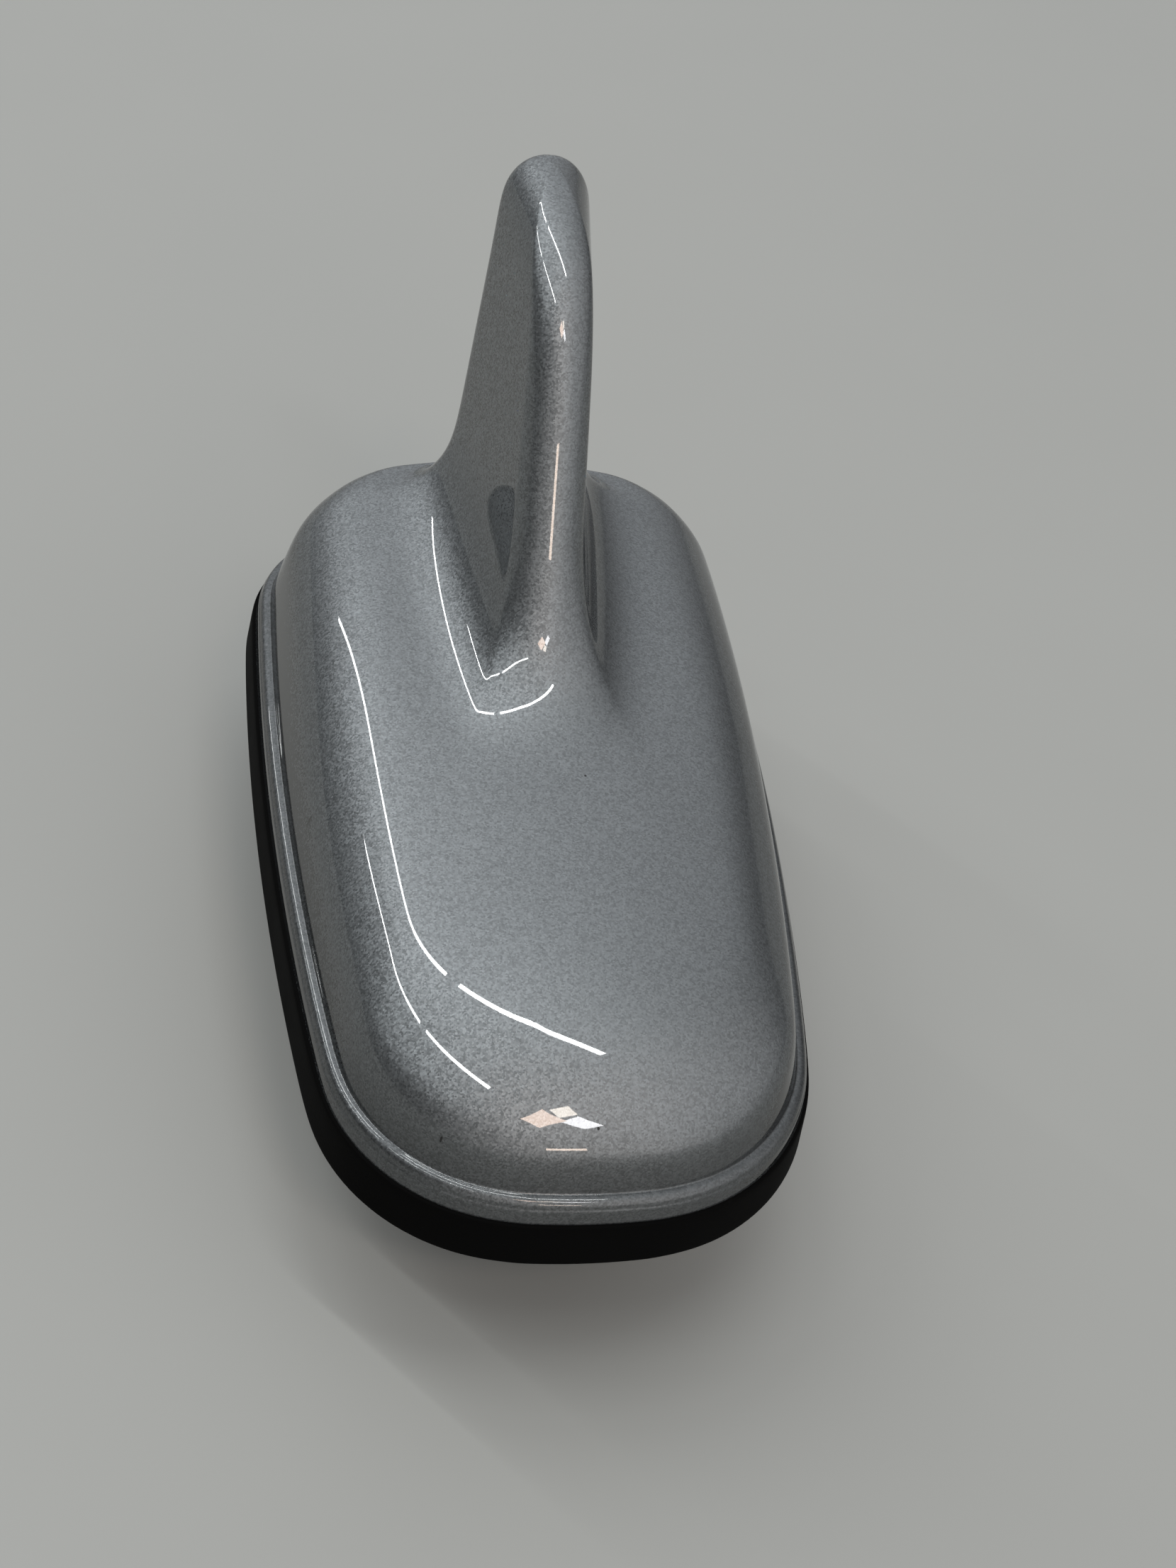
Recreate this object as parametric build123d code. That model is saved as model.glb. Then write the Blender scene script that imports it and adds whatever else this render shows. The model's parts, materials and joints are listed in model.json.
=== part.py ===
"""Shark fin roof aerial: painted cover with its fin, rubber gasket, cast base and the electronics inside.

Millimetres, +Z up out of the roof, nose towards -Y, fin towards +Y.
The origin lies on the roof plane, under the gasket, on the axis of the fixing stud.
"""
import os
from math import cos, radians, sin, sqrt, tan

from build123d import *

# Plan outline: nose, side and tail arcs joined by round corners
base_length = 111.0
base_width = 64.0
widest_station = 20.0
nose_radius = 76.0
nose_corner_radius = 23.0
side_radius = 410.0
tail_corner_radius = 16.0
tail_radius = 70.0

# Rubber gasket: outer rim, floor under the plate, sealing lips underneath
gasket_height = 6.2
gasket_lean = 0.5
gasket_rim = 4.6
gasket_floor = 2.4
lip_width = 3.2
lip_height = 0.7
collar_width = 4.0
gasket_hole_gap = 0.25

# Cover: skirt, step line, drafted dome wall, crowned top and sloping nose
cover_wall = 2.4
edge_inset = 0.9
skirt_lean = 0.5
skirt_height = 3.6
skirt_round = 1.0
ledge_width = 1.3
wall_draft = 13.5
dome_top = 25.0
dome_rise = 0.065
crown_radius = 62.0
nose_wall = 7.9
nose_slope = 42.5
nose_roll = 32.0
rim_radius = 11.0

# Fin of the cover, its root sizes taken at the level of the dome's top
fin_tail_setback = 9.5
fin_root_length = 38.8
fin_lead_angle = 61.4
fin_tail_rake = 9.0
fin_tip = 68.6
fin_tip_round = 4.0
fin_tip_turn = 72.0
fin_tip_steps = 4
fin_arc_steps = 4
fin_nose_root = 4.6
fin_nose_tip = 3.4
fin_tail_half_root = 8.1
fin_tail_half_tip = 4.9
fin_tail_corner = 4.2
fin_root_round = 11.0

# Screw bosses inside the cover and the screws that enter them from below
boss_radius = 3.2
boss_nose_setback = 13.5
boss_tail_setback = 17.5
boss_nose_offset = 14.0
boss_tail_offset = 20.0
screw_radius = 1.4
screw_head_radius = 2.6
screw_head_height = 1.7
screw_head_round = 0.5
screw_grip = 8.0
screw_slip = 0.05
screw_tip_gap = 1.0
hole_gap = 0.2

# Cast base plate with its posts and ribs
plate_gap = 0.25
plate_thickness = 3.2
plate_round = 0.8
head_sink = 2.0
rib_thickness = 1.4
rib_height = 1.6

# Hollow fixing stud, its hexagon flange let into the plate
stud_radius = 7.0
stud_neck = 7.6
stud_bore = 4.6
stud_length = 20.0
stud_flats = 20.0
stud_flange = 3.0
stud_pocket = 1.2
stud_slip = 0.1
stud_chamfer = 1.2

# Circuit board on its posts
board_thickness = 1.6
board_gap = 1.5
board_side_margin = 12.0
board_corner = 3.0
post_radius = 2.8
post_height = 3.6
post_inset = 3.6
post_hole_spare = 0.8
board_screw_radius = 1.0
board_screw_head = 1.9
board_screw_head_height = 1.2
board_screw_round = 0.4
board_screw_bite = 3.6
lead_window = 7.0
part_gap = 1.0

# Patch antenna
patch_size = 25.0
patch_height = 4.0
patch_margin = 4.0
pad_border = 1.0
pad_height = 0.4
electrode_border = 2.0
electrode_height = 0.2
electrode_cut = 2.4
pin_radius = 0.45
pin_head_radius = 0.9
pin_head_height = 0.3
pin_offset = 2.2
pin_slip = 0.1
pin_tail = 0.6

# Shielded amplifier and the supply parts beside the radiator
can_width = 12.0
can_length = 15.0
can_height = 3.4
can_sheet = 0.3
can_corner = 1.2
can_vent_radius = 0.7
can_vent_pitch = 3.0
can_gap = 2.0
chip_size = 4.0
chip_height = 0.9
filter_width = 3.0
filter_length = 3.8
filter_height = 1.2
choke_radius = 2.6
choke_height = 3.0
choke_core = 1.6
choke_cheek = 0.7
capacitor_length = 2.0
capacitor_width = 1.25
capacitor_height = 0.9
capacitor_pitch = 2.6
capacitor_count = 5

# Sheet radiator that stands in the fin, its holder and its feed spring
blade_thickness = 0.8
blade_gap = 1.0
blade_tip_margin = 9.0
blade_slot = 1.6
blade_slot_reach = 0.62
blade_slot_count = 3
holder_length = 13.0
holder_width = 6.4
holder_height = 6.0
holder_floor = 1.0
holder_edge = 2.5
holder_slip = 0.05
spring_width = 2.0
spring_sheet = 0.3
spring_foot = 2.6
spring_rise = 3.2
spring_slip = 0.05

# How far cutting solids run past what they cut
overrun = 3.0

# Levels and places that follow from the sizes above
half_length = base_length / 2
draft_spread = tan(radians(wall_draft))
step_height = gasket_height + skirt_height
step_inset = edge_inset + skirt_lean + ledge_width
plate_bottom = gasket_floor
plate_top = plate_bottom + plate_thickness
board_bottom = plate_top + post_height
board_top = board_bottom + board_thickness
boss_nose_y = boss_nose_setback - half_length
boss_tail_y = half_length - boss_tail_setback
boss_spots = [
    (-boss_nose_offset, boss_nose_y),
    (boss_nose_offset, boss_nose_y),
    (-boss_tail_offset, boss_tail_y),
    (boss_tail_offset, boss_tail_y),
]
head_seat = plate_bottom + head_sink
board_front = boss_nose_y + boss_radius + board_gap
board_back = boss_tail_y - boss_radius - board_gap
board_half_width = base_width / 2 - board_side_margin
post_x = board_half_width - post_inset
post_front = board_front + post_inset
post_back = board_back - post_inset
post_spots = [(side * post_x, y) for side in (-1, 1) for y in (post_front, post_back)]
patch_y = board_front + patch_margin + patch_size / 2
pad_top = board_top + pad_height
patch_top = pad_top + patch_height
electrode_top = patch_top + electrode_height
holder_back = board_back - holder_edge
holder_front = holder_back - holder_length
blade_foot = board_top + holder_floor
can_x = -(holder_width + can_width) / 2 - can_gap
can_y = post_back - board_screw_head - part_gap - can_length / 2
fin_tail_root = half_length - fin_tail_setback
fin_lead_root = fin_tail_root - fin_root_length


def upright(sketch, low, high):
    """Straight prism of a level sketch between two heights."""
    return Pos(0, 0, low) * extrude(sketch, high - low)


def rod(radius, x, y, low, high):
    """Upright cylinder between two heights."""
    return upright(Pos(x, y) * Circle(radius), low, high)


def block(width, length, x, y, low, high):
    """Upright box about a point between two heights."""
    return upright(Pos(x, y) * Rectangle(width, length), low, high)


def plan_face(inset, z):
    """Plan outline moved in by inset, as a level face."""
    nose = Pos(0, nose_radius - half_length) * Circle(nose_radius - inset)
    tail = Pos(0, half_length - tail_radius) * Circle(tail_radius - inset)
    side_centre = base_width / 2 - side_radius
    right = Pos(side_centre, widest_station) * Circle(side_radius - inset)
    left = Pos(-side_centre, widest_station) * Circle(side_radius - inset)
    face = nose & tail & left & right
    face = fillet(face.vertices().sort_by(Axis.Y)[:2], nose_corner_radius - inset)
    face = fillet(face.vertices().sort_by(Axis.Y)[-2:], tail_corner_radius - inset)
    return Pos(0, 0, z) * face


def tapered(*stations):
    """Straight-walled solid through plan outlines given as inset and height."""
    return loft([plan_face(inset, z) for inset, z in stations], ruled=True)


def top_height(y):
    """Height of the dome's centre line above the roof."""
    return dome_top + dome_rise * y


def crowned_top(drop):
    """Solid of revolution under the crowned top and the sloping nose, both moved in by drop."""
    slope = radians(nose_slope)
    nose_y = step_inset - half_length + nose_wall * draft_spread + drop * sin(slope)
    nose_z = step_height + nose_wall - drop * cos(slope)
    brow_y = (top_height(0) - drop - nose_z + tan(slope) * nose_y) / (tan(slope) - dome_rise)
    brow_z = top_height(brow_y) - drop
    end = half_length + overrun
    axis_z = dome_top - crown_radius
    outline = Polyline(
        (-end, axis_z),
        (-end, nose_z - tan(slope) * (nose_y + end)),
        (brow_y, brow_z),
        (end, top_height(end) - drop),
        (end, axis_z),
        close=True,
    )
    profile = Plane.YZ * make_face(outline)
    brow = profile.vertices().sort_by_distance((0, brow_y, brow_z))[0]
    profile = fillet(brow, nose_roll - drop)
    return revolve(profile, axis=Axis((0, 0, axis_z), (0, 1, 0)))


def dome(inset, *lower_stations):
    """Dome above the step, its faces moved in by inset, with a rounded rim."""
    crest = top_height(half_length) + overrun
    wall = tapered(
        *lower_stations,
        (step_inset + inset, step_height),
        (step_inset + inset + draft_spread * (crest - step_height), crest),
    )
    crown = crowned_top(inset)
    form = wall & crown
    rim = new_edges(wall, crown, combined=form)
    return fillet(rim, rim_radius - inset)


def fin_line(z):
    """Place of the fin's straight leading edge at a height."""
    return fin_lead_root + (z - dome_top) / tan(radians(fin_lead_angle))


def fin_trail(z):
    """Place of the fin's trailing edge at a height."""
    return fin_tail_root + (z - dome_top) * tan(radians(fin_tail_rake))


def fin_crest():
    """Place of the fin's highest point."""
    return fin_trail(fin_tip) - fin_tip_round


def fin_arc():
    """Radius of the arc that carries the leading edge over to the highest point."""
    return (fin_crest() - fin_line(fin_tip)) / tan(radians(fin_lead_angle) / 2)


def fin_brow():
    """Height at which the leading edge starts to arc over."""
    return fin_tip - fin_arc() * (1 - cos(radians(fin_lead_angle)))


def fin_lead(z):
    """Place of the fin's leading edge at a height: a straight rake, then the arc."""
    if z <= fin_brow():
        return fin_line(z)
    drop = fin_tip - z
    return fin_crest() - sqrt(drop * (2 * fin_arc() - drop))


def fin_slice(z, inset):
    """Level section of the fin: round nose, straight sides, blunt tail with round corners."""
    share = (z - dome_top) / (fin_tip - dome_top)
    tail_half = fin_tail_half_root + (fin_tail_half_tip - fin_tail_half_root) * share - inset
    nose = fin_nose_root + (fin_nose_tip - fin_nose_root) * share - inset
    corner = fin_tail_corner - inset
    tail_y = fin_trail(z) - inset - corner
    rounds = [
        Pos(0, fin_lead(z) + inset + nose) * Rot(0, 0, 90) * Circle(nose),
        Pos(tail_half - corner, tail_y) * Rot(0, 0, 225) * Circle(corner),
        Pos(corner - tail_half, tail_y) * Rot(0, 0, 315) * Circle(corner),
    ]
    outline = make_hull([edge for circle in rounds for edge in circle.edges()])
    return Pos(0, 0, z) * make_face(outline.edges())


def fin_body(inset, *heights):
    """Straight-walled part of the fin through level sections, its faces moved in by inset."""
    return loft([fin_slice(z, inset) for z in heights], ruled=True)


def fin_levels():
    """Heights of the sections from the brow to the shoulder, where the tip starts to draw in."""
    shoulder = fin_tip - fin_tip_round
    pitch = (shoulder - fin_brow()) / fin_arc_steps
    return [fin_brow() + pitch * count for count in range(fin_arc_steps)] + [shoulder]


def fin_tip_cap():
    """Rounded tip: slices that draw in along a quarter circle."""
    shoulder = fin_tip - fin_tip_round
    turns = [radians(fin_tip_turn * count / fin_tip_steps) for count in range(fin_tip_steps + 1)]
    return loft(
        [
            fin_slice(shoulder + fin_tip_round * sin(turn), fin_tip_round * (1 - cos(turn)))
            for turn in turns
        ]
    )


def cover_form():
    """Outside of the cover as one solid: skirt, dome and fin with their rounds."""
    skirt = tapered((edge_inset, gasket_height), (edge_inset + skirt_lean, step_height))
    skirt = fillet(skirt.faces().sort_by(Axis.Z)[-1].edges(), skirt_round)
    body = dome(0)
    blade = fin_body(0, step_height, *fin_levels()) + fin_tip_cap()
    joined = body + blade
    joined = fillet(new_edges(body, blade, combined=joined), fin_root_round)
    return joined + skirt


def cover():
    """Painted cover: hollow moulding with screw bosses."""
    form = cover_form()
    hollow = dome(cover_wall, (edge_inset + cover_wall, gasket_height))
    hollow += fin_body(cover_wall, step_height, *fin_levels())
    shell = form - hollow
    crest = top_height(half_length)
    for x, y in boss_spots:
        shell += rod(boss_radius, x, y, plate_top, step_height)
        shell += rod(boss_radius, x, y, step_height, crest) & form
    for x, y in boss_spots:
        depth = screw_grip + screw_tip_gap
        shell -= rod(screw_radius + screw_slip, x, y, plate_top, plate_top + depth)
    return shell


def gasket():
    """Rubber tray under the cover, with a sealing lip round its edge and one round the stud."""
    tray = tapered((0, 0), (gasket_lean, gasket_height))
    tray -= upright(plan_face(gasket_rim, 0), gasket_floor, gasket_height)
    hole = stud_neck + gasket_hole_gap
    relief = plan_face(lip_width, 0) - Circle(hole + collar_width)
    tray -= upright(relief, 0, lip_height)
    return tray - rod(hole, 0, 0, 0, gasket_floor)


def base_plate():
    """Cast plate with board posts, stiffening ribs and sunk screw holes."""
    plate = upright(plan_face(gasket_rim + plate_gap, 0), plate_bottom, plate_top)
    plate = fillet(plate.faces().sort_by(Axis.Z)[-1].edges(), plate_round)
    for x, y in post_spots:
        plate += rod(post_radius, x, y, plate_top, board_bottom)
    for side in (-1, 1):
        rib_length = post_back - post_front
        rib_y = (post_back + post_front) / 2
        plate += block(rib_thickness, rib_length, side * post_x, rib_y, plate_top, plate_top + rib_height)
    for x, y in post_spots:
        depth = board_screw_bite + post_hole_spare
        plate -= rod(board_screw_radius + screw_slip, x, y, board_bottom - depth, board_bottom)
    for x, y in boss_spots:
        plate -= rod(screw_radius + hole_gap, x, y, plate_bottom, plate_top)
        plate -= rod(screw_head_radius + hole_gap, x, y, plate_bottom, head_seat)
    pocket = RegularPolygon(stud_flats / 2 + stud_slip, 6, major_radius=False)
    plate -= upright(pocket, plate_top - stud_pocket, plate_top)
    return plate - rod(stud_neck + stud_slip, 0, 0, plate_bottom, plate_top)


def fixing_stud():
    """Hollow stud: hexagon flange on the plate, plain neck, round shank down through the roof."""
    seat = plate_top - stud_pocket
    flange = upright(RegularPolygon(stud_flats / 2, 6, major_radius=False), seat, seat + stud_flange)
    neck = rod(stud_neck, 0, 0, 0, seat)
    shank = rod(stud_radius, 0, 0, -stud_length, 0)
    shank = chamfer(shank.faces().sort_by(Axis.Z)[0].edges(), stud_chamfer)
    return flange + neck + shank - rod(stud_bore, 0, 0, -stud_length, seat + stud_flange)


def main_board():
    """Circuit board with its screw holes, lead window and feed hole."""
    length = board_back - board_front
    middle = (board_back + board_front) / 2
    outline = Pos(0, middle) * RectangleRounded(2 * board_half_width, length, board_corner)
    for x, y in post_spots:
        outline -= Pos(x, y) * Circle(board_screw_radius + hole_gap)
    outline -= Circle(lead_window)
    outline -= Pos(pin_offset, patch_y) * Circle(pin_radius + pin_slip)
    return upright(outline, board_bottom, board_top)


def pan_screw(shank_radius, head_radius, head_height, head_round, length):
    """Pan-head screw that points down from a seat at the origin."""
    head = rod(head_radius, 0, 0, 0, head_height)
    head = fillet(head.faces().sort_by(Axis.Z)[-1].edges(), head_round)
    return head + rod(shank_radius, 0, 0, -length, 0)


def board_screws():
    """Four screws that hold the board to its posts."""
    length = board_thickness + board_screw_bite
    screw = pan_screw(
        board_screw_radius, board_screw_head, board_screw_head_height, board_screw_round, length
    )
    return Compound([Pos(x, y, board_top) * screw for x, y in post_spots])


def cover_screws():
    """Four screws from under the plate into the cover's bosses."""
    length = plate_top - head_seat + screw_grip
    screw = pan_screw(screw_radius, screw_head_radius, screw_head_height, screw_head_round, length)
    return Compound([Pos(x, y, head_seat) * Rot(180, 0, 0) * screw for x, y in boss_spots])


def patch_layer(size, low, high):
    """Square layer of the patch antenna with a hole for its pin."""
    layer = block(size, size, 0, patch_y, low, high)
    return layer - rod(pin_radius + pin_slip, pin_offset, patch_y, low, high)


def patch_electrode():
    """Silver face of the patch with two opposite corners cut."""
    size = patch_size - 2 * electrode_border
    face = Pos(0, patch_y) * Rectangle(size, size)
    diagonal = face.vertices().sort_by_distance((size, patch_y + size, 0))
    face = chamfer([diagonal[0], diagonal[-1]], electrode_cut)
    face -= Pos(pin_offset, patch_y) * Circle(pin_radius + pin_slip)
    return upright(face, patch_top, electrode_top)


def patch_pin():
    """Feed pin with its head on the patch's silver face."""
    head = rod(pin_head_radius, pin_offset, patch_y, electrode_top, electrode_top + pin_head_height)
    return head + rod(pin_radius, pin_offset, patch_y, board_bottom - pin_tail, electrode_top)


def shield_can():
    """Pressed tin box over the amplifier, with vent holes in its top."""
    outer = Pos(can_x, can_y) * RectangleRounded(can_width, can_length, can_corner)
    inner = offset(outer, -can_sheet)
    can = upright(outer, board_top, board_top + can_height)
    can -= upright(inner, board_top, board_top + can_height - can_sheet)
    for row in (-1, 1):
        for column in (-1, 0, 1):
            x = can_x + row * can_vent_pitch / 2
            y = can_y + column * can_vent_pitch
            can -= rod(can_vent_radius, x, y, board_top, board_top + can_height)
    return can


def amplifier_chip():
    """Amplifier under the front half of the can."""
    y = can_y - (chip_size + part_gap) / 2
    return block(chip_size, chip_size, can_x, y, board_top, board_top + chip_height)


def band_filter():
    """Ceramic filter under the rear half of the can."""
    y = can_y + (filter_length + part_gap) / 2
    return block(filter_width, filter_length, can_x, y, board_top, board_top + filter_height)


def supply_choke():
    """Bobbin choke in the supply line."""
    spool = Polyline(
        (0, 0),
        (choke_radius, 0),
        (choke_radius, choke_cheek),
        (choke_core, choke_cheek),
        (choke_core, choke_height - choke_cheek),
        (choke_radius, choke_height - choke_cheek),
        (choke_radius, choke_height),
        (0, choke_height),
        close=True,
    )
    return Pos(-can_x, can_y, board_top) * revolve(Plane.XZ * make_face(spool), axis=Axis.Z)


def board_capacitors():
    """Row of chip capacitors in front of the choke."""
    first = can_y - choke_radius - capacitor_pitch
    rows = [first - capacitor_pitch * count for count in range(capacitor_count)]
    high = board_top + capacitor_height
    return Compound([block(capacitor_length, capacitor_width, -can_x, y, board_top, high) for y in rows])


def fin_radiator():
    """Sheet radiator: foot in the holder, blade along the fin with slots from alternate edges."""
    inset = cover_wall + blade_gap
    shoulder = dome_top
    top = fin_tip - blade_tip_margin
    knee = dome_top + (holder_front - fin_lead_root - inset) * tan(radians(fin_lead_angle))
    outline = Polyline(
        (holder_front, blade_foot),
        (holder_front, knee),
        (fin_lead(top) + inset, top),
        (fin_trail(top) - inset, top),
        (fin_trail(shoulder) - inset, shoulder),
        (holder_back, shoulder),
        (holder_back, blade_foot),
        close=True,
    )
    sheet = make_face(outline)
    pitch = (top - knee) / (blade_slot_count + 1)
    for count in range(blade_slot_count):
        z = knee + pitch * (count + 1)
        front = fin_lead(z) + inset
        back = fin_trail(z) - inset
        reach = blade_slot_reach * (back - front)
        if count % 2:
            sheet -= Pos(front, z) * Rectangle(2 * reach, blade_slot)
        else:
            sheet -= Pos(back, z) * Rectangle(2 * reach, blade_slot)
    return extrude(Plane.YZ * sheet, blade_thickness / 2, both=True)


def radiator_holder():
    """Moulded foot on the board with a slot for the radiator."""
    middle = (holder_front + holder_back) / 2
    foot = block(holder_width, holder_length, 0, middle, board_top, board_top + holder_height)
    slot = blade_thickness + 2 * holder_slip
    return foot - block(slot, holder_length, 0, middle, blade_foot, board_top + holder_height)


def feed_spring():
    """Bent contact strip from the board to the radiator's front edge."""
    back = holder_front - spring_slip
    strip = Polyline(
        (back - spring_foot, board_top),
        (back, board_top),
        (back, board_top + spring_rise),
        (back - spring_sheet, board_top + spring_rise),
        (back - spring_sheet, board_top + spring_sheet),
        (back - spring_foot, board_top + spring_sheet),
        close=True,
    )
    return extrude(Plane.YZ * make_face(strip), spring_width / 2, both=True)


def build():
    """All pieces of the aerial by node name."""
    return {
        "cover": cover(),
        "gasket": gasket(),
        "base_plate": base_plate(),
        "fixing_stud": fixing_stud(),
        "main_board": main_board(),
        "board_screws": board_screws(),
        "cover_screws": cover_screws(),
        "patch_pad": patch_layer(patch_size - 2 * pad_border, board_top, pad_top),
        "patch_ceramic": patch_layer(patch_size, pad_top, patch_top),
        "patch_electrode": patch_electrode(),
        "patch_pin": patch_pin(),
        "shield_can": shield_can(),
        "amplifier_chip": amplifier_chip(),
        "band_filter": band_filter(),
        "supply_choke": supply_choke(),
        "board_capacitors": board_capacitors(),
        "fin_radiator": fin_radiator(),
        "radiator_holder": radiator_holder(),
        "feed_spring": feed_spring(),
    }


if __name__ == "__main__":
    os.makedirs("parts", exist_ok=True)
    for node, piece in build().items():
        export_step(piece, os.path.join("parts", node + ".step"))
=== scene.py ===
"""Shark fin roof aerial: painted cover, rubber gasket, plated stud and the receivers inside.

Metres, +Z up out of the roof, nose towards -Y, fin towards +Y, as in the frame.
"""
import functools
import json
import logging
import math
from dataclasses import dataclass, field
from enum import Enum
from typing import Any, Mapping, Optional, Sequence, Union

import bmesh
import bpy
import numpy as np
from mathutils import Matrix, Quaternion, Vector


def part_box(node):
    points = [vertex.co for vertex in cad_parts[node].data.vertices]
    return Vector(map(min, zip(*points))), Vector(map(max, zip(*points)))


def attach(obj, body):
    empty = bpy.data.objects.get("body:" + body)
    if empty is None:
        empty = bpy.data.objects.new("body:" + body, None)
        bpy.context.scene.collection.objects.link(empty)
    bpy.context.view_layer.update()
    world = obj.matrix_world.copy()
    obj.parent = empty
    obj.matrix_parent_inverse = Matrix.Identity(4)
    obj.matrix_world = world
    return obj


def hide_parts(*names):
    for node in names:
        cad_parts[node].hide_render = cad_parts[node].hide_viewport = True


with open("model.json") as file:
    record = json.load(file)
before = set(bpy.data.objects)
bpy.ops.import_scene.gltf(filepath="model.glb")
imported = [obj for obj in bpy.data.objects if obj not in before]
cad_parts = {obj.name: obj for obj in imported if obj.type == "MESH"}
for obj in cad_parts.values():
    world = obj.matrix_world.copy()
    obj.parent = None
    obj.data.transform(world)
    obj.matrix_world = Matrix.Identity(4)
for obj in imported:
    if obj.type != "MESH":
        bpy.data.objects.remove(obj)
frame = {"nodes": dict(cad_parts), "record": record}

log = logging.getLogger("aerial")
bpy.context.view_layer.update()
Colour = tuple[float, float, float]
Value = Union["Signal", float, Sequence[float]]
Key = Union[str, int]
skirt_height = 0.0036


class Signal:
    """A node's output that takes part in Python arithmetic."""

    def __init__(self, graph: "Graph", socket: bpy.types.NodeSocket) -> None:
        """Wraps one output socket of a graph."""
        self.graph = graph
        self.socket = socket

    def __add__(self, other: Value) -> "Signal":
        """Sum."""
        return self.graph.maths("ADD", self, other)

    def __radd__(self, other: Value) -> "Signal":
        """Sum with a number on the left."""
        return self.graph.maths("ADD", other, self)

    def __sub__(self, other: Value) -> "Signal":
        """Difference."""
        return self.graph.maths("SUBTRACT", self, other)

    def __rsub__(self, other: Value) -> "Signal":
        """Difference from a number on the left."""
        return self.graph.maths("SUBTRACT", other, self)

    def __mul__(self, other: Value) -> "Signal":
        """Product."""
        return self.graph.maths("MULTIPLY", self, other)

    def __rmul__(self, other: Value) -> "Signal":
        """Product with a number on the left."""
        return self.graph.maths("MULTIPLY", other, self)


class Graph:
    """Node tree that is written as expressions."""

    colour_mix_inputs = (0, 6, 7)
    colour_mix_output = 2

    def __init__(self, tree: bpy.types.NodeTree) -> None:
        """Empties a tree for new nodes."""
        self.tree = tree
        self.tree.nodes.clear()

    def node(
        self,
        kind: str,
        settings: Optional[Mapping[str, Any]] = None,
        inputs: Optional[Mapping[Key, Value]] = None,
    ) -> bpy.types.Node:
        """Adds a node.

        Args:
            kind: Type name of the node.
            settings: Properties that are set first.
            inputs: Values or signals by socket name or number.

        Returns:
            The new node.
        """
        made = self.tree.nodes.new(kind)
        for key, value in (settings or {}).items():
            setattr(made, key, value)
        for key, value in (inputs or {}).items():
            self.plug(made.inputs[key], value)
        return made

    def plug(self, socket: bpy.types.NodeSocket, value: Value) -> None:
        """Links a signal to a socket, or sets its number or colour.

        Args:
            socket: Input of a node.
            value: What it gets.
        """
        if isinstance(value, Signal):
            self.tree.links.new(value.socket, socket)
        elif socket.type == "RGBA":
            socket.default_value = (*value, 1.0)
        else:
            socket.default_value = value

    def out(self, node: bpy.types.Node, key: Key = 0) -> Signal:
        """Output of a node as a signal."""
        return Signal(self, node.outputs[key])

    def maths(self, operation: str, *values: Value) -> Signal:
        """One Math node."""
        return self.out(self.node("ShaderNodeMath", {"operation": operation}, dict(enumerate(values))))

    def vector(self, operation: str, *values: Value, key: Key = 0) -> Signal:
        """One Vector Math node."""
        node = self.node("ShaderNodeVectorMath", {"operation": operation}, dict(enumerate(values)))
        return self.out(node, key)

    def scaled(self, vector: Value, factor: Value) -> Signal:
        """Vector or colour times a factor."""
        inputs = {0: vector, "Scale": factor}
        return self.out(self.node("ShaderNodeVectorMath", {"operation": "SCALE"}, inputs))

    def place(self) -> Signal:
        """Position on the piece, in metres."""
        return self.out(self.node("ShaderNodeTexCoord"), "Object")

    def noise(self, where: Signal, pitch: float, detail: float = 2.0) -> Signal:
        """Soft noise from 0 to 1 with features of about one pitch."""
        inputs = {"Vector": where, "Scale": 1.0 / pitch, "Detail": detail}
        return self.out(self.node("ShaderNodeTexNoise", None, inputs), 0)

    def stretched(self, where: Signal, scale: Sequence[float]) -> Signal:
        """Position scaled along each axis, for drawn-out grain."""
        return self.out(self.node("ShaderNodeMapping", None, {"Vector": where, "Scale": scale}))

    def span(self, value: Value, low: float, high: float) -> Signal:
        """Runs smoothly from 0 to 1 and stays there.

        Args:
            value: What is followed.
            low: Where the run starts.
            high: Where it ends, below low for a run that falls.

        Returns:
            The share of the run.
        """
        settings = {"interpolation_type": "SMOOTHSTEP"}
        inputs = {"Value": value, "From Min": low, "From Max": high}
        return self.out(self.node("ShaderNodeMapRange", settings, inputs), 0)

    def blend(self, share: Value, first: Value, second: Value) -> Signal:
        """Colour that goes from first to second."""
        inputs = dict(zip(self.colour_mix_inputs, (share, first, second)))
        return self.out(self.node("ShaderNodeMix", {"data_type": "RGBA"}, inputs), self.colour_mix_output)

    def bump(self, height: Signal, depth: float, strength: float = 1.0) -> Signal:
        """Normal of a surface with this relief, depth in metres."""
        inputs = {"Height": height, "Distance": depth, "Strength": strength}
        return self.out(self.node("ShaderNodeBump", None, inputs))


@dataclass(frozen=True)
class Finish:
    """Surface of one material."""

    name: str
    colour: Colour

    def start(self) -> tuple[bpy.types.Material, Graph]:
        """Starts a material.

        Returns:
            The empty material and its graph.
        """
        material = bpy.data.materials.new(self.name)
        material.use_nodes = True
        return material, Graph(material.node_tree)

    def shader(self, graph: Graph, inputs: Mapping[Key, Value]) -> None:
        """Ends a graph in a principled surface."""
        surface = graph.node("ShaderNodeBsdfPrincipled", None, inputs)
        graph.node("ShaderNodeOutputMaterial", None, {"Surface": graph.out(surface)})


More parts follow.
